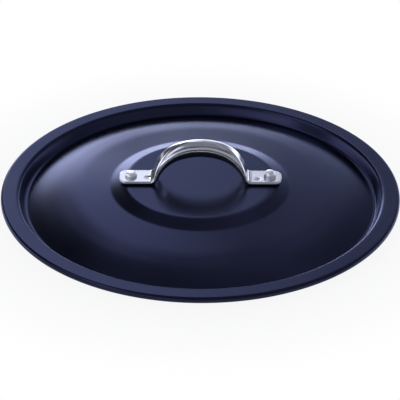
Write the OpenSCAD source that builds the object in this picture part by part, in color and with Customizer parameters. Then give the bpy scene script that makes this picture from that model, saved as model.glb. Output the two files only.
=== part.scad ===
// Lid for a round cooking pot: a pressed sheet shell and a tube handle, held by two rivets.
// Millimetres, +Z up. The origin is below the middle of the lid, level with the skirt's lowest face.
// The handle runs along X.

/* [Lid shell] */
// Inner diameter of the pot mouth that the lid closes
pot_mouth_d = 240; // [220:1:300]
// How far the rim reaches out past the pot mouth, on each side
rim_overhang = 10; // [8:0.5:16]
// Clearance between the skirt and the pot mouth, on each side
skirt_gap = 0.8; // [0.4:0.1:2]
// Thickness of the sheet
sheet_t = 1.2; // [0.8:0.1:1.6]
// Depth of the groove below the flange
groove_depth = 7.1; // [6:0.1:12]
// Width of the groove's floor, from the skirt to the foot of the dome
groove_w = 4.4; // [3:0.1:8]
// Radius of the bends at the top and bottom of the skirt, on the upper side
skirt_bend_r = 2; // [1.7:0.1:2.4]
// Height of the turned-down rim, over all
rim_h = 4; // [3.6:0.1:6]
// Radius of the bend from the flange to the rim, on the outside
rim_bend_r = 1.8; // [1.8:0.1:2.2]
// Radius of the rim's rounded lower edge, on the outside
rim_edge_r = 1.6; // [1.6:0.05:1.7]

/* [Dome] */
// Slope of the outer, steeper part of the dome, in degrees
dome_slope = 13.5; // [10:0.5:18]
// Radius at which the slope changes
shoulder_r = 82; // [76:1:90]
// Radius of curvature of the soft shoulder between the slopes
shoulder_bend_r = 130; // [40:5:160]
// Slope of the inner, gentler part of the dome, in degrees
cone_slope = 7.6; // [5:0.1:9]
// Height of the raised boss above its foot
boss_h = 3.2; // [2:0.1:5]
// Width of the slope round the boss's flat top
boss_slope_w = 10.4; // [8:0.1:14]
// Radius of the bend round the boss's flat top
boss_bend_r = 5; // [2:0.5:8]
// Radius of the crisp creases at the foot of the boss and of the dome
crease_r = 1; // [0.5:0.1:2]

/* [Handle] */
// Outer diameter of the tube
tube_d = 11.4; // [10:0.1:13]
// Wall of the tube
tube_wall = 1.2; // [0.9:0.05:1.5]
// Radius of the flatter arc at the top of the arch, to the tube's middle line
crown_r = 38.6; // [34:0.2:46]
// Turn of that arc on each side of the top, in degrees
crown_turn = 22; // [15:1:28]
// Radius of the shoulders of the arch, to the tube's middle line
arch_shoulder_r = 24; // [20:0.2:27]
// Slope of the legs, in degrees
leg_slope = 70; // [62:1:80]
// Length of the straight part of each leg
leg_straight = 2; // [0.5:0.1:4]
// Radius of the bend from each leg to its tab, to the tube's middle line
foot_r = 5; // [4:0.1:6.5]
// Length over which the tube goes from round to flat
flatten_len = 38; // [30:1:42]
// Reach of each tab past its rivet
tab_reach = 7.6; // [6:0.1:10]
// Length of the rounding at each tab's end
tab_nose = 4.2; // [2:0.1:5]

/* [Rivets] */
// Distance between the two rivets
rivet_spacing = 90.4; // [88:0.2:100]
// Diameter of the rivet's shank
shank_d = 4; // [3:0.1:5]
// Radial clearance round the shank in its holes
shank_gap = 0.1; // [0.05:0.05:0.3]
// Diameter of the dome head
head_d = 7.8; // [6.5:0.1:9]
// Height of the dome head
head_h = 4.6; // [2.5:0.1:5]
// Height of the straight band round the base of the head
head_band_h = 1; // [0.4:0.1:1.5]
// Diameter of the closed tail under the shell
tail_d = 6.8; // [6:0.1:8]
// Height of the closed tail
tail_h = 1.6; // [1:0.1:2.5]
// Flat land between a rivet's hole and the bend of the boss top
rivet_land = 0.9; // [0.5:0.1:4]

/* [Hidden] */

shell_sides = 180;    // sides of a revolved outline on screen
arc_step = 12;        // degrees between the points of a small arc
section_sides = 32;   // points round the handle's section
bend_steps = 10;      // rings in each bend of the handle
nose_steps = 6;       // rings in each rounded end
quarter_steps = 10;   // points in each quarter of a rivet's rounding
nose_close = 0.97;    // share of the rounding at which an end is cut off square
edge_land = 0.05;     // straight end of the sheet after its last bend, which stays clear of the pot's rim

// Levels of the upper side of the sheet
groove_z = sheet_t;
flange_z = groove_z + groove_depth;
rim_z = flange_z - rim_h;

// Radii on the upper side of the sheet, from the rim inwards
rim_r = pot_mouth_d / 2 + rim_overhang;
skirt_r = pot_mouth_d / 2 - skirt_gap;
wall_r = skirt_r - sheet_t;
dome_r = wall_r - groove_w;
boss_top_r = rivet_spacing / 2 + shank_d / 2 + shank_gap + rivet_land;
boss_foot_r = boss_top_r + boss_slope_w;

shoulder_z = groove_z + (dome_r - shoulder_r) * tan(dome_slope);
boss_foot_z = shoulder_z + (shoulder_r - boss_foot_r) * tan(cone_slope);
boss_z = boss_foot_z + boss_h;

// The tab is the tube pressed flat, so it is two walls thick
tab_t = 2 * tube_wall;
tab_top_z = boss_z + tab_t;
tab_end_x = rivet_spacing / 2 + tab_reach;
hole_d = shank_d + 2 * shank_gap;

// Points of the rounded corner at b, on the way from a to c; a positive r is the radius of its arc
function corner(a, b, c, r) =
    let (u = (b - a) / norm(b - a), v = (c - b) / norm(c - b))
    let (turn = atan2(u.x * v.y - u.y * v.x, u * v))
    r <= 0 || abs(turn) < 0.01 ? [b] :
    let (side = sign(turn), reach = r * tan(abs(turn) / 2))
    let (middle = b - reach * u + r * side * [-u.y, u.x])
    let (steps = max(2, ceil(abs(turn) / arc_step)))
    [for (i = [0:steps]) middle + r * side * rotated([u.y, -u.x], turn * i / steps)];

function rotated(v, a) = [v.x * cos(a) - v.y * sin(a), v.x * sin(a) + v.y * cos(a)];

// A path through corners [x, y, radius], with every corner rounded
function rounded_path(c) = [
    each [[c[0].x, c[0].y]],
    for (i = [1:len(c) - 2])
        each corner([c[i - 1].x, c[i - 1].y], [c[i].x, c[i].y], [c[i + 1].x, c[i + 1].y], c[i].z),
    each [[c[len(c) - 1].x, c[len(c) - 1].y]]
];

// Direction of the path's leg i
function leg(c, i) = let (d = [c[i + 1].x - c[i].x, c[i + 1].y - c[i].y]) d / norm(d);

// The same corners moved by t to the right of the path, with radii that keep the sheet's thickness
function other_side(c, t) = [
    for (i = [0:len(c) - 1])
        let (u = leg(c, max(i - 1, 0)), v = leg(c, min(i, len(c) - 2)))
        let (m = [u.y, -u.x], n = [v.y, -v.x], side = sign(u.x * v.y - u.y * v.x))
        let (p = [c[i].x, c[i].y] + (m + n) * t / (1 + m * n))
        [p.x, p.y, max(c[i].z + side * t, 0)]
];

// Upper side of the pressed sheet, from the middle of the lid to the rim's inner edge
sheet_corners = [
    [0, boss_z, 0],
    [boss_top_r, boss_z, boss_bend_r],
    [boss_foot_r, boss_foot_z, crease_r],
    [shoulder_r, shoulder_z, shoulder_bend_r],
    [dome_r, groove_z, crease_r],
    [wall_r, groove_z, skirt_bend_r],
    [wall_r, flange_z, skirt_bend_r],
    [rim_r, flange_z, rim_bend_r],
    [rim_r, rim_z, rim_edge_r],
    [rim_r - rim_edge_r - edge_land, rim_z, 0]
];

module rivet_holes(z, h) {
    for (side = [-1, 1])
        translate([side * rivet_spacing / 2, 0, z])
            cylinder(d = hole_d, h = h, $fn = 48);
}

module lid_shell() {
    upper = rounded_path(sheet_corners);
    lower = rounded_path(other_side(sheet_corners, sheet_t));
    color("midnightblue")
        difference() {
            rotate_extrude($fn = shell_sides)
                polygon(concat(upper, [for (i = [len(lower) - 1:-1:0]) lower[i]]));
            rivet_holes(boss_z - 2 * sheet_t, 3 * sheet_t);
        }
}

// End of a stretch that starts at heading a below the X axis and turns by t degrees over length l
function stretch_end(l, a, t) =
    t == 0 ? l * [cos(a), -sin(a)] :
    let (r = l / t * 180 / PI)
    r * [sin(a + t) - sin(a), cos(a + t) - cos(a)];

function arc_length(r, t) = r * t * PI / 180;

// One half of the tube's middle line below the top of the arch: [length, turn, rings] for each stretch
half_line = [
    [arc_length(crown_r, crown_turn), crown_turn, bend_steps],
    [arc_length(arch_shoulder_r, leg_slope - crown_turn), leg_slope - crown_turn, bend_steps],
    [leg_straight, 0, 2],
    [arc_length(foot_r, leg_slope), -leg_slope, bend_steps]
];

function line_length(i) = i == 0 ? 0 : line_length(i - 1) + half_line[i - 1][0];
function line_heading(i) = i == 0 ? 0 : line_heading(i - 1) + half_line[i - 1][1];
function line_start(i) =
    i == 0 ? [0, 0] :
    line_start(i - 1) + stretch_end(half_line[i - 1][0], line_heading(i - 1), half_line[i - 1][1]);

foot_end = line_start(len(half_line));
foot_length = line_length(len(half_line));
line_top_z = boss_z + tab_t / 2 - foot_end.y;

// How flat the section is at length s from the top of the arch: 0 is round, 1 is flat
function flatness(s) =
    let (u = min(max((s - foot_length + flatten_len) / flatten_len, 0), 1))
    u * u * (3 - 2 * u);

// Half thickness and half width of the section, with the wall's length round it kept
function half_thickness(f) = tube_d / 2 + (tab_t - tube_d) / 2 * f;
function half_width(a) = a + (tube_d / 2 - a) * PI / 2;

// Rings of one half: [x, z, heading, half thickness, half width]
bent_rings = [
    for (i = [0:len(half_line) - 1])
        for (k = [1:half_line[i][2]])
            let (part = k / half_line[i][2], l = half_line[i][0] * part, t = half_line[i][1] * part)
            let (p = line_start(i) + stretch_end(l, line_heading(i), t))
            let (a = half_thickness(flatness(line_length(i) + l)))
            [p.x, p.y, line_heading(i) + t, a, half_width(a)]
];
nose_rings = [
    for (k = [0:nose_steps])
        let (u = nose_close * sin(90 * k / nose_steps), full = half_width(tab_t / 2))
        let (w = tab_t / 2 + (full - tab_t / 2) * sqrt(1 - u * u))
        [tab_end_x - tab_nose * (1 - u / nose_close), foot_end.y, 0, tab_t / 2, w]
];
half_rings = concat(bent_rings, nose_rings);
top_ring = [0, 0, 0, tube_d / 2, half_width(tube_d / 2)];

// Points of one ring: a section with flat sides and round edges, mirrored in X for the left half
function ring_points(r, side) = [
    for (k = [0:section_sides - 1])
        let (q = 360 * (k + 0.5) / section_sides, up = r[3] * sin(q))
        let (across = r[3] * cos(q) + sign(cos(q)) * (r[4] - r[3]))
        [side * (r[0] + up * sin(r[2])), across, line_top_z + r[1] + up * cos(r[2])]
];

module handle() {
    n = section_sides;
    rings = concat(
        [for (i = [len(half_rings) - 1:-1:0]) ring_points(half_rings[i], -1)],
        [ring_points(top_ring, 1)],
        [for (r = half_rings) ring_points(r, 1)]
    );
    last = (len(rings) - 1) * n;
    sides = [
        for (i = [0:len(rings) - 2])
            for (k = [0:n - 1])
                let (a = i * n + k, b = i * n + (k + 1) % n)
                each [[a, b + n, b], [a, a + n, b + n]]
    ];
    ends = [[for (k = [0:n - 1]) k], [for (k = [n - 1:-1:0]) last + k]];
    color("silver")
        difference() {
            polyhedron(points = [for (r = rings) each r], faces = concat(sides, ends));
            rivet_holes(boss_z - tab_t, 3 * tab_t);
        }
}

// Points of a quarter of an ellipse round [x, z], from angle q1 to q2
function quarter(x, z, w, h, q1, q2) = [
    for (i = [0:quarter_steps])
        let (q = q1 + (q2 - q1) * i / quarter_steps)
        [x + w * cos(q), z + h * sin(q)]
];

// A set rivet: a dome head on the tab, a shank through both pieces and a closed tail under the shell
module rivet() {
    head_r = head_d / 2;
    tail_r = tail_d / 2;
    edge_r = tail_h / 2;
    grip_z = boss_z - sheet_t;
    color("silver")
        rotate_extrude($fn = 64)
            polygon(concat(
                [[tail_r, grip_z], [shank_d / 2, grip_z], [shank_d / 2, tab_top_z], [head_r, tab_top_z]],
                quarter(0, tab_top_z + head_band_h, head_r, head_h - head_band_h, 0, 90),
                [[0, grip_z - tail_h]],
                quarter(tail_r - edge_r, grip_z - tail_h + edge_r, edge_r, edge_r, -90, 0)
            ));
}

module rivet_left() {
    translate([-rivet_spacing / 2, 0, 0])
        rivet();
}

module rivet_right() {
    translate([rivet_spacing / 2, 0, 0])
        rivet();
}

lid_shell();
handle();
rivet_left();
rivet_right();
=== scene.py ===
import math

import bmesh
import bpy
from mathutils import Matrix, Vector


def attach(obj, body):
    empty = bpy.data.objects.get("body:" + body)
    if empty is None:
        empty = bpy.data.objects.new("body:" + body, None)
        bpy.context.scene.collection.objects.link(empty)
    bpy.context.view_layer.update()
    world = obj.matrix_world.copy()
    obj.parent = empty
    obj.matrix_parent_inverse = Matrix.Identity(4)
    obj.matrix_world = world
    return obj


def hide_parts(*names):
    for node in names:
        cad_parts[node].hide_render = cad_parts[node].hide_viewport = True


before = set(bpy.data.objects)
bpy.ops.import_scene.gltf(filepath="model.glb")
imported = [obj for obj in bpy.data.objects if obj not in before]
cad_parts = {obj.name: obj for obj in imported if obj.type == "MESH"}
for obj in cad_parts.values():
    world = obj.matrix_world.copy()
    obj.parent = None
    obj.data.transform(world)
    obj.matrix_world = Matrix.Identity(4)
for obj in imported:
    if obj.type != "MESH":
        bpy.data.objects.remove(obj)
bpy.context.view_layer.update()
scene = bpy.context.scene
scene.view_settings.view_transform = "Standard"


# Camera: a long lens that looks down on the lid from in front of it, along +Y. It is aimed a little
# below the middle of the rim, so that the lid sits slightly high in the picture.
camera_distance = 1.25
camera_elevation = math.radians(30.35)
camera_lean = math.radians(0.27)
rim_middle = Vector((0, 0, 0.0070))
aim_below = 0.00647
aim_left = 0.0002

towards_lid = Vector((0, math.cos(camera_elevation), -math.sin(camera_elevation)))
picture_up = Vector((0, math.sin(camera_elevation), math.cos(camera_elevation)))
camera = bpy.data.objects.new("camera", bpy.data.cameras.new("camera"))
camera.data.sensor_width = 36
camera.data.lens = 172.1
camera.data.clip_start = 0.05
camera.data.clip_end = 50
aim = rim_middle - picture_up * aim_below - Vector((aim_left, 0, 0))
eye = rim_middle - towards_lid * camera_distance
look = (aim - eye).to_track_quat("-Z", "Y").to_matrix().to_4x4()
camera.matrix_world = Matrix.Translation(eye) @ look @ Matrix.Rotation(camera_lean, 4, "Z")
scene.collection.objects.link(camera)
scene.camera = camera


# Lid shell: one round steel sheet, pressed in steps to a boss, a dome, a groove, a flat flange and a
# turned-down rim, then coated all over in satin dark blue. Half of its outline is drawn with square
# corners, the corners are rounded, and the outline is spun about the middle of the lid.
class Shade:
    """A socket of a material's nodes. Sums and products of it add Math nodes, and node() adds any other."""

    def __init__(self, tree, socket=None):
        self.tree = tree
        self.socket = socket

    def node(self, kind, settings=None, inputs=None, output=0):
        """Adds a node, sets it, fills or links its inputs, and gives one of its outputs."""
        made = self.tree.nodes.new(kind)
        for name, value in (settings or {}).items():
            setattr(made, name, value)
        for name, value in (inputs or {}).items():
            if isinstance(value, Shade):
                self.tree.links.new(value.socket, made.inputs[name])
            else:
                made.inputs[name].default_value = value
        return Shade(self.tree, made.outputs[output] if made.outputs else None)

    def maths(self, operation, first, second):
        return self.node("ShaderNodeMath", {"operation": operation}, {0: first, 1: second})

    def __add__(self, other):
        return self.maths("ADD", self, other)

    def __mul__(self, other):
        return self.maths("MULTIPLY", self, other)

    __radd__ = __add__
    __rmul__ = __mul__

    def ease(self, start, end, low=0.0, high=1.0):
        """Goes smoothly from low, where this is start, to high, where it is end."""
        return self.node("ShaderNodeMapRange", {"interpolation_type": "SMOOTHSTEP"},
                         {0: self, 1: start, 2: end, 3: low, 4: high})

    def mix(self, first, second):
        """Goes from the first colour to the second with this as the factor."""
        return self.node("ShaderNodeMix", {"data_type": "RGBA"}, {0: self, 6: first, 7: second}, 2)


def new_finish(name):
    """A material with no nodes yet, and a Shade that adds them."""
    finish = bpy.data.materials.new(name)
    finish.use_nodes = True
    finish.node_tree.nodes.clear()
    return finish, Shade(finish.node_tree)


def noise(place, scale, detail):
    """Soft random values over a piece."""
    return place.node("ShaderNodeTexNoise", None, {"Vector": place, "Scale": scale, "Detail": detail})


sheet = 0.0012
rim = 0.1300
groove_floor = 0.0012
flange_top = 0.0083
rim_edge = 0.0043
rim_curl = 0.00165
boss_top = 0.01511

# radius, height and bend radius of each corner of the upper side, from the middle to the rim
lid_corners = [
    (0, boss_top, 0),
    (0.0482, boss_top, 0.010),
    (0.0586, 0.01191, 0.012),
    (0.0820, 0.00880, 0.150),
    (0.0990, 0.00565, 0.130),
    (0.1130, groove_floor, 0.0008),
    (0.1150, groove_floor, 0.0012),
    (0.1184, flange_top, 0.0028),
    (rim, flange_top, 0.0018),
    (rim, rim_edge, 0.0016),
    (rim - rim_curl, rim_edge, 0),
]


def rounded_outline(corners, longest):
    """Edges in the XZ plane through the corners, with rounded bends, and none longer than longest."""
    bm = bmesh.new()
    points = [bm.verts.new((x, 0, z)) for x, z, bend in corners]
    for start, end in zip(points, points[1:]):
        bm.edges.new((start, end))
    bends = []
    for before, point, after, (x, z, bend) in zip(points, points[1:], points[2:], corners[1:]):
        bends.append((point, (point.co - before.co).angle(after.co - point.co), bend))
    for point, turn, bend in bends:
        if bend:
            bmesh.ops.bevel(bm, geom=[point], affect="VERTICES", offset=bend * math.tan(turn / 2),
                            segments=4 + round(math.degrees(turn) / 10), profile=0.5, material=-1)
    for edge in list(bm.edges):
        cuts = int(edge.calc_length() / longest)
        if cuts:
            bmesh.ops.subdivide_edges(bm, edges=[edge], cuts=cuts)
    return bm


def spun(bm, steps):
    """Spins an outline once round the Z axis and joins it where it meets itself."""
    bmesh.ops.spin(bm, geom=bm.verts[:] + bm.edges[:], cent=(0, 0, 0), axis=(0, 0, 1),
                   dvec=(0, 0, 0), angle=math.tau, steps=steps, use_merge=True)
    bmesh.ops.remove_doubles(bm, verts=bm.verts, dist=1e-7)
    bmesh.ops.recalc_face_normals(bm, faces=bm.faces)


def as_piece(bm, name, finish):
    """Makes a bmesh an object at the origin, smoothly shaded and with one finish."""
    mesh = bpy.data.meshes.new(name)
    bm.to_mesh(mesh)
    bm.free()
    for face in mesh.polygons:
        face.use_smooth = True
    mesh.materials.append(finish)
    piece = bpy.data.objects.new(name, mesh)
    scene.collection.objects.link(piece)
    return piece


coat, shade = new_finish("satin_navy_coat")
place = shade.node("ShaderNodeTexCoord", output=3)
peel = noise(place, 900, 2)
grain = noise(place, 4000, 1)
cloud = noise(place, 22, 3)
relief = shade.node("ShaderNodeBump", None,
                    {"Strength": 0.25, "Distance": 0.00006, "Height": peel * 0.7 + grain * 0.3})
surface = shade.node("ShaderNodeBsdfPrincipled", None, {
    "Base Color": cloud.ease(0.3, 0.7).mix((0.018, 0.020, 0.041, 1), (0.021, 0.023, 0.046, 1)),
    "Metallic": 1.0,
    "Specular Tint": (0.79, 0.83, 1, 1),
    "Roughness": cloud.ease(0.25, 0.75, 0.22, 0.26),
    "Normal": relief,
})
shade.node("ShaderNodeOutputMaterial", None, {"Surface": surface})

lid = rounded_outline(lid_corners, 0.002)
spun(lid, 256)
lid_shell = as_piece(lid, "pressed_lid_shell", coat)
wall = lid_shell.modifiers.new("sheet", "SOLIDIFY")
wall.thickness = sheet
wall.offset = -1
wall.use_even_offset = True
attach(lid_shell, "root")
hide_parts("lid_shell")


# Handle: a length of stainless steel tube, pressed flat towards both ends, its ends trimmed round,
# and bent to an arch whose flat ends lie on the boss as tabs. It is polished, with a fine grain.
tube_radius = 0.0057
tube_sides = 80
ring_gap = 0.0005
half_tab = 0.0012
tab_end = 0.0528
nose = 0.0042
nose_roundness = 0.97
pressed_over = 0.038
crown_bend = 0.0386
crown_turn = math.radians(22)
shoulder_bend = 0.024
shoulder_turn = math.radians(48)
leg = 0.002
foot_bend = 0.005
foot_turn = -crown_turn - shoulder_turn

# length and turn of each stretch of the tube's middle line, from the top of the arch to the tab
arch = [
    (crown_bend * crown_turn, crown_turn),
    (shoulder_bend * shoulder_turn, shoulder_turn),
    (leg, 0),
    (foot_bend * -foot_turn, foot_turn),
]

# Each end was held in the press by a blunt pin, which left a small dent at the foot of the arch.
dent_places = {-1: Vector((0.0342, -0.0012)), 1: Vector((0.0377, -0.0034))}
dent_wide = 0.0013
dent_deep = 0.0007


def arch_point(distance):
    """Place and slope of the middle line at a distance from the top of the arch."""
    x, z, slope, left = 0, 0, 0, distance
    for length, turn in arch + [(1, 0)]:
        part = min(left / length, 1)
        after = slope + turn * part
        if turn:
            bend = length / turn
            x += bend * (math.sin(after) - math.sin(slope))
            z += bend * (math.cos(after) - math.cos(slope))
        else:
            x += length * part * math.cos(slope)
            z -= length * part * math.sin(slope)
        slope = after
        left -= length * part
        if left <= 0:
            break
    return x, z, slope


def pressed(across, up, thick, wide):
    """Where a point of the round tube goes when it is pressed to these half sizes, at the same girth."""
    round_part = thick * math.pi / 2
    flat_part = wide - thick
    girth = (round_part + flat_part) * math.atan2(abs(up), abs(across)) / (math.pi / 2)
    if girth < round_part:
        y, z = flat_part + thick * math.cos(girth / thick), thick * math.sin(girth / thick)
    else:
        y, z = flat_part - (girth - round_part), thick
    return math.copysign(y, across), math.copysign(z, up)


foot = sum(length for length, turn in arch)
foot_x, foot_z = arch_point(foot)[:2]
half_tube = foot + tab_end - foot_x
arch_top = boss_top + half_tab - foot_z

# The tube grows along X from a ring at its left end, ring by ring, and is closed at both ends.
handle = bmesh.new()
across_x = Matrix.Rotation(math.pi / 2, 4, "Y")
half_side = Matrix.Rotation(math.pi / tube_sides, 4, "Z")
bmesh.ops.create_circle(handle, segments=tube_sides, radius=tube_radius, matrix=across_x @ half_side)
bmesh.ops.translate(handle, verts=handle.verts, vec=(-half_tube, 0, 0))
rings = 2 * math.ceil(half_tube / ring_gap)
ring = handle.edges[:]
for step in range(rings):
    grown = bmesh.ops.extrude_edge_only(handle, edges=ring)["geom"]
    bmesh.ops.translate(handle, verts=[part for part in grown if isinstance(part, bmesh.types.BMVert)],
                        vec=(2 * half_tube / rings, 0, 0))
    ring = [part for part in grown if isinstance(part, bmesh.types.BMEdge) and part.is_boundary]
bmesh.ops.holes_fill(handle, edges=[edge for edge in handle.edges if edge.is_boundary], sides=0)
bmesh.ops.recalc_face_normals(handle, faces=handle.faces)

# Each point is pressed flatter towards the ends, trimmed at the nose and moved onto the bent middle line.
for point in handle.verts:
    along, side = abs(point.co.x), math.copysign(1, point.co.x)
    share = min(max((along - foot + pressed_over) / pressed_over, 0), 1)
    flat = share * share * (3 - 2 * share)
    thick = tube_radius + (half_tab - tube_radius) * flat
    wide = thick + (tube_radius - thick) * math.pi / 2
    trim = max(along - half_tube + nose, 0) / nose * nose_roundness
    wide = half_tab + (wide - half_tab) * math.sqrt(1 - trim * trim) if trim else wide
    y, z = pressed(point.co.y, point.co.z, thick, wide)
    x, down, slope = arch_point(along)
    if z > 0:
        z -= dent_deep * math.exp(-((Vector((x, y)) - dent_places[side]).length / dent_wide) ** 2)
    point.co = (side * (x + z * math.sin(slope)), y, arch_top + down + z * math.cos(slope))

steel, shade = new_finish("polished_stainless_tube")
place = shade.node("ShaderNodeTexCoord", output=3)
drawn = shade.node("ShaderNodeMapping", None, {"Vector": place, "Scale": (60.0, 2600.0, 2600.0)})
grain = noise(drawn, 1, 3)
relief = shade.node("ShaderNodeBump", None, {"Strength": 0.2, "Distance": 0.00003, "Height": grain})
surface = shade.node("ShaderNodeBsdfPrincipled", None, {
    "Base Color": grain.ease(0.3, 0.7).mix((0.50, 0.50, 0.51, 1), (0.58, 0.58, 0.59, 1)),
    "Metallic": 1.0,
    "Roughness": grain.ease(0.3, 0.7, 0.14, 0.22),
    "Normal": relief,
})
shade.node("ShaderNodeOutputMaterial", None, {"Surface": surface})

tube_handle = as_piece(handle, "tube_handle", steel)
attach(tube_handle, "root")
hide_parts("handle")


# Rivets: two solid stainless rivets, each with a round head on the tab, a shank through the tab and the
# shell, and a tail that was set flat against the underside of the shell. The left head was struck harder
# and came out flatter.
rivet_place = 0.0452
head = 0.0039
shank = 0.0020
tail = 0.0034
tail_height = 0.0016
tab_top = boss_top + 2 * half_tab


def rivet_corners(head_height, dome):
    """Radius, height and bend radius of each corner of a rivet, from the top of its head to its tail."""
    return [
        (0, tab_top + head_height, 0),
        (head, tab_top + head_height, dome),
        (head, tab_top, 0.0001),
        (shank, tab_top, 0.0001),
        (shank, boss_top - sheet, 0.0001),
        (tail, boss_top - sheet, 0.0001),
        (tail, boss_top - sheet - tail_height, 0.0008),
        (0, boss_top - sheet - tail_height, 0),
    ]


# The rivets are the same stainless as the tube, but their base colour is painted lighter: a brighter copy of
# the steel that stands in for the light the heads catch.
rivet_steel_painted_lighter, shade = new_finish("stainless_rivet_painted_lighter")
place = shade.node("ShaderNodeTexCoord", output=3)
grain = noise(place, 1500, 3)
relief = shade.node("ShaderNodeBump", None, {"Strength": 0.3, "Distance": 0.00004, "Height": grain})
surface = shade.node("ShaderNodeBsdfPrincipled", None, {
    "Base Color": grain.ease(0.3, 0.7).mix((0.84, 0.84, 0.85, 1), (0.92, 0.92, 0.93, 1)),
    "Metallic": 1.0,
    "Roughness": grain.ease(0.3, 0.7, 0.36, 0.46),
    "Normal": relief,
})
shade.node("ShaderNodeOutputMaterial", None, {"Surface": surface})

for node, side, head_height, dome in (
    ("rivet_left", -1, 0.0030, 0.0024),
    ("rivet_right", 1, 0.0046, 0.0036),
):
    rivet = rounded_outline(rivet_corners(head_height, dome), 0.001)
    spun(rivet, 48)
    bmesh.ops.translate(rivet, verts=rivet.verts, vec=(side * rivet_place, 0, 0))
    set_rivet = as_piece(rivet, "set_" + node, rivet_steel_painted_lighter)
    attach(set_rivet, "root")
    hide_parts(node)


# Floor: a plain round white table top that the lid stands on. Near the lid it takes a soft shadow, and
# further out it shows as the same white as the room.
table = 0.26
shadow_end = 0.21
white_near_lid = 0.91

floor_finish, shade = new_finish("white_floor")
# rays from the camera, and glossy and transmitted ones, see the white
seen = shade.node("ShaderNodeLightPath", output=0) + shade.node("ShaderNodeLightPath", output=3) \
    + shade.node("ShaderNodeLightPath", output=6)
far = shade.node("ShaderNodeVectorMath", {"operation": "LENGTH"},
                 {0: shade.node("ShaderNodeTexCoord", output=3)}, 1).ease(rim, shadow_end, white_near_lid, 1)
plain = shade.node("ShaderNodeBsdfDiffuse", None, {"Color": (0.8, 0.8, 0.8, 1)})
white = shade.node("ShaderNodeEmission", None, {"Color": (1, 1, 1, 1), "Strength": 1.0})
surface = shade.node("ShaderNodeMixShader", None, {0: seen * far, 1: plain, 2: white})
shade.node("ShaderNodeOutputMaterial", None, {"Surface": surface})
floor = bmesh.new()
bmesh.ops.create_circle(floor, cap_ends=True, segments=128, radius=table)
as_piece(floor, "floor", floor_finish)


# Light: a dim room with soft white panels in it: a bright one low behind the lid on its left, a pale
# wall behind it, and weaker ones at both sides, in front and overhead. The room shows as white.
world = bpy.data.worlds.new("studio_room")
scene.world = world
world.use_nodes = True
world.node_tree.nodes.clear()
shade = Shade(world.node_tree)
direction = shade.node("ShaderNodeTexCoord", output=0)
across, depth, height = (
    shade.node("ShaderNodeSeparateXYZ", None, {0: direction}, axis) for axis in range(3)
)
turned = across.maths("ARCTAN2", across, depth) * math.degrees(1)
raised = height.maths("ARCSINE", height, 0.0) * math.degrees(1)


def panel(left, right, low, high, soft):
    """1 between these angles in degrees, from straight back and from the level, and 0 outside them."""
    return turned.ease(left - soft, left + soft) * turned.ease(right - soft, right + soft, 1, 0) \
        * raised.ease(low - soft, low + soft) * raised.ease(high - soft, high + soft, 1, 0)


# each panel's sides, foot, top and softness, times its strength
softbox = panel(-21, -10, -20, 22, 1.5) * 4.6 + panel(-10, -7, -20, 15, 1.5) * 3 \
    + panel(-7, -2, -20, 9, 1.5) * 3 + panel(-2, 8, -20, 8, 1.5) * 1.9
back_wall = panel(-16, 3, -20, 24, 4) * 0.42 + panel(-16, 3, 24, 50, 3) * 1.12 \
    + panel(3, 20, -20, 50, 4) * 0.4 \
    + panel(-15.5, -10, 24, 50, 1.5) + panel(-9, 1, 30, 48, 3) * 0.7
sides = panel(-90, -38, -20, 19, 5) * 1.8 + panel(-6, 90, -20, 4, 3) * 1.4 \
    + panel(10, 90, -20, 10, 5) * 0.9 + panel(-130, -78, 32, 62, 5) * 1.2 + panel(7, 90, 10, 60, 5) * 0.25
front = panel(-200, -92, 10, 36, 6) * 0.5 + panel(92, 200, 10, 40, 6) * 0.45 \
    + panel(-165, -118, 10, 21, 3) * 1.8
overhead = raised.ease(46, 58) * 0.26
glow = back_wall + sides + front + overhead + 0.05
seen = shade.node("ShaderNodeLightPath", output=0)
bright = shade.node("ShaderNodeBackground", None, {"Color": (1, 1, 1.02, 1), "Strength": softbox})
pale = shade.node("ShaderNodeBackground", None, {"Color": (0.97, 1.02, 1.24, 1), "Strength": glow})
room_light = shade.node("ShaderNodeAddShader", None, {0: bright, 1: pale})
white = shade.node("ShaderNodeBackground", None, {"Color": (1, 1, 1, 1), "Strength": 1.0})
surface = shade.node("ShaderNodeMixShader", None, {0: seen, 1: room_light, 2: white})
shade.node("ShaderNodeOutputWorld", None, {"Surface": surface})
